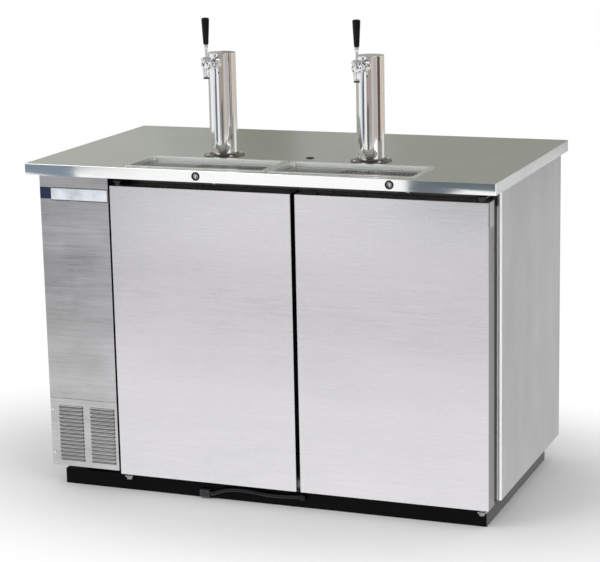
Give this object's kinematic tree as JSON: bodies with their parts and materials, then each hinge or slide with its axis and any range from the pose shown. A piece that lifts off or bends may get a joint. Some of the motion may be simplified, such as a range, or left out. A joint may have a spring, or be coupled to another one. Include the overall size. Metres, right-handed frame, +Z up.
{
  "type": "kegerator",
  "caption": "Steel direct-draw keg cooler with insulated swing doors, a louvred machine bay, sunk drip trays under tap columns, and plain lever taps on a flat worktop.",
  "frame": {"origin": "middle of the footprint, on the floor", "axes": "+X along the front from the machine bay at the left to the right side, +Y from the front to the back, +Z up"},
  "size_m": [1.27, 0.7232, 1.2573],
  "materials": {
    "brushed_steel": "brushed stainless sheet, grain along the doors' width and upright on the side",
    "foam_body": "galvanised sheet over insulating foam, hidden behind the skins",
    "door_liner": "metal-faced foam door with a raised inner panel",
    "plywood": "plain board under the worktop, hidden",
    "liner_steel": "plain satin interior sheet",
    "galvanised": "galvanised sheet",
    "black_paint": "glossy black enamel",
    "dark_steel": "satin, in shadow",
    "polished_steel": "mirror-polished stainless tube",
    "chrome": "polished chrome plate",
    "black_plastic": "glossy black moulding",
    "dark_plastic": "satin black moulding",
    "rubber": "soft black rubber",
    "clear_hose": "milky flexible hose",
    "brass": "machined",
    "aluminium": "finned coil",
    "copper": "bare copper pipe"
  },
  "bodies": {
    "cabinet": {"back_panel": "galvanised", "base_frame": "black_paint", "beer_line_left": "clear_hose", "beer_line_right": "clear_hose", "column_left": "polished_steel", "column_right": "polished_steel", "compressor": "black_paint", "condenser_coil": "aluminium", "coupling_nut_left": "chrome", "coupling_nut_right": "chrome", "drain_hose": "rubber", "drip_tray_left": "brushed_steel", "drip_tray_right": "brushed_steel", "evaporator_case": "liner_steel", "face_frame": "brushed_steel", "fan_shroud": "black_paint", "front_panel": "brushed_steel", "hinge_lower_left": "chrome", "hinge_lower_right": "chrome", "hinge_post": "dark_steel", "hinge_upper_left": "chrome", "hinge_upper_right": "chrome", "hole_plug": "dark_plastic", "insulated_body": "foam_body", "left_side_panel": "brushed_steel", "liner": "liner_steel", "lock_barrel_left": "chrome", "lock_barrel_right": "chrome", "louvre_grille": "brushed_steel", "refrigerant_pipe": "copper", "right_side_panel": "brushed_steel", "tap_body_left": "chrome", "tap_body_right": "chrome", "tap_bonnet_left": "chrome", "tap_bonnet_right": "chrome", "tap_shank_left": "chrome", "tap_shank_right": "chrome", "top_insulation": "foam_body", "worktop": "brushed_steel", "worktop_battens": "plywood"},
    "door_left": {"door_skin_left": "brushed_steel", "door_core_left": "door_liner", "door_pull_left": "dark_plastic", "door_gasket_left": "rubber"},
    "door_right": {"door_skin_right": "brushed_steel", "door_core_right": "door_liner", "door_pull_right": "dark_plastic", "door_gasket_right": "rubber"},
    "lock_left": {"lock_plug_left": "chrome"},
    "lock_right": {"lock_plug_right": "chrome"},
    "grid_left": {"tray_grid_left": "brushed_steel"},
    "grid_right": {"tray_grid_right": "brushed_steel"},
    "lever_left": {"tap_lever_left": "chrome", "tap_handle_left": "black_plastic"},
    "lever_right": {"tap_lever_right": "chrome", "tap_handle_right": "black_plastic"},
    "plunger_left": {"valve_plunger_left": "brass"},
    "plunger_right": {"valve_plunger_right": "brass"},
    "condenser_rotor": {"condenser_fan": "dark_plastic"},
    "evaporator_rotor": {"evaporator_fan": "dark_plastic"}
  },
  "joints": [
    {"name": "door_left_hinge", "type": "hinge", "parent": "cabinet", "child": "door_left", "pos_m": [-0.3932, -0.3062, 0.0496], "axis": [0, 0, -1], "range_deg": [0, 105]},
    {"name": "door_right_hinge", "type": "hinge", "parent": "cabinet", "child": "door_right", "pos_m": [0.584, -0.3062, 0.0496], "axis": [0, 0, 1], "range_deg": [0, 105]},
    {"name": "lock_left_turn", "type": "hinge", "parent": "cabinet", "child": "lock_left", "pos_m": [-0.1474, -0.361, 0.873], "axis": [0, 1, 0], "range_deg": [0, 69]},
    {"name": "lock_right_turn", "type": "hinge", "parent": "cabinet", "child": "lock_right", "pos_m": [0.3668, -0.361, 0.873], "axis": [0, 1, 0], "range_deg": [0, 69]},
    {"name": "lever_left_hinge", "type": "hinge", "parent": "cabinet", "child": "lever_left", "pos_m": [-0.177, -0.2042, 1.15], "axis": [1, 0, 0], "range_deg": [0, 30]},
    {"name": "lever_right_hinge", "type": "hinge", "parent": "cabinet", "child": "lever_right", "pos_m": [0.2325, -0.2042, 1.15], "axis": [1, 0, 0], "range_deg": [0, 30]},
    {"name": "plunger_left_slide", "type": "slide", "parent": "cabinet", "child": "plunger_left", "axis": [0, 1, 0], "range_m": [0, 0.0081]},
    {"name": "plunger_right_slide", "type": "slide", "parent": "cabinet", "child": "plunger_right", "axis": [0, 1, 0], "range_m": [0, 0.0081]},
    {"name": "grid_left_lift", "type": "slide", "parent": "cabinet", "child": "grid_left", "axis": [0, 0, 1], "range_m": [0, 0.1]},
    {"name": "grid_right_lift", "type": "slide", "parent": "cabinet", "child": "grid_right", "axis": [0, 0, 1], "range_m": [0, 0.1]},
    {"name": "condenser_fan_spin", "type": "hinge", "parent": "cabinet", "child": "condenser_rotor", "pos_m": [-0.5175, -0.2169, 0.1413], "axis": [0, 1, 0], "continuous": true},
    {"name": "evaporator_fan_spin", "type": "hinge", "parent": "cabinet", "child": "evaporator_rotor", "pos_m": [-0.2776, 0.2074, 0.6662], "axis": [0, 1, 0], "continuous": true}
  ],
  "couplings": [
    {"joint": "plunger_left_slide", "follows": "lever_left_hinge", "m_per_rad": 0.0152},
    {"joint": "plunger_right_slide", "follows": "lever_right_hinge", "m_per_rad": 0.0152}
  ]
}
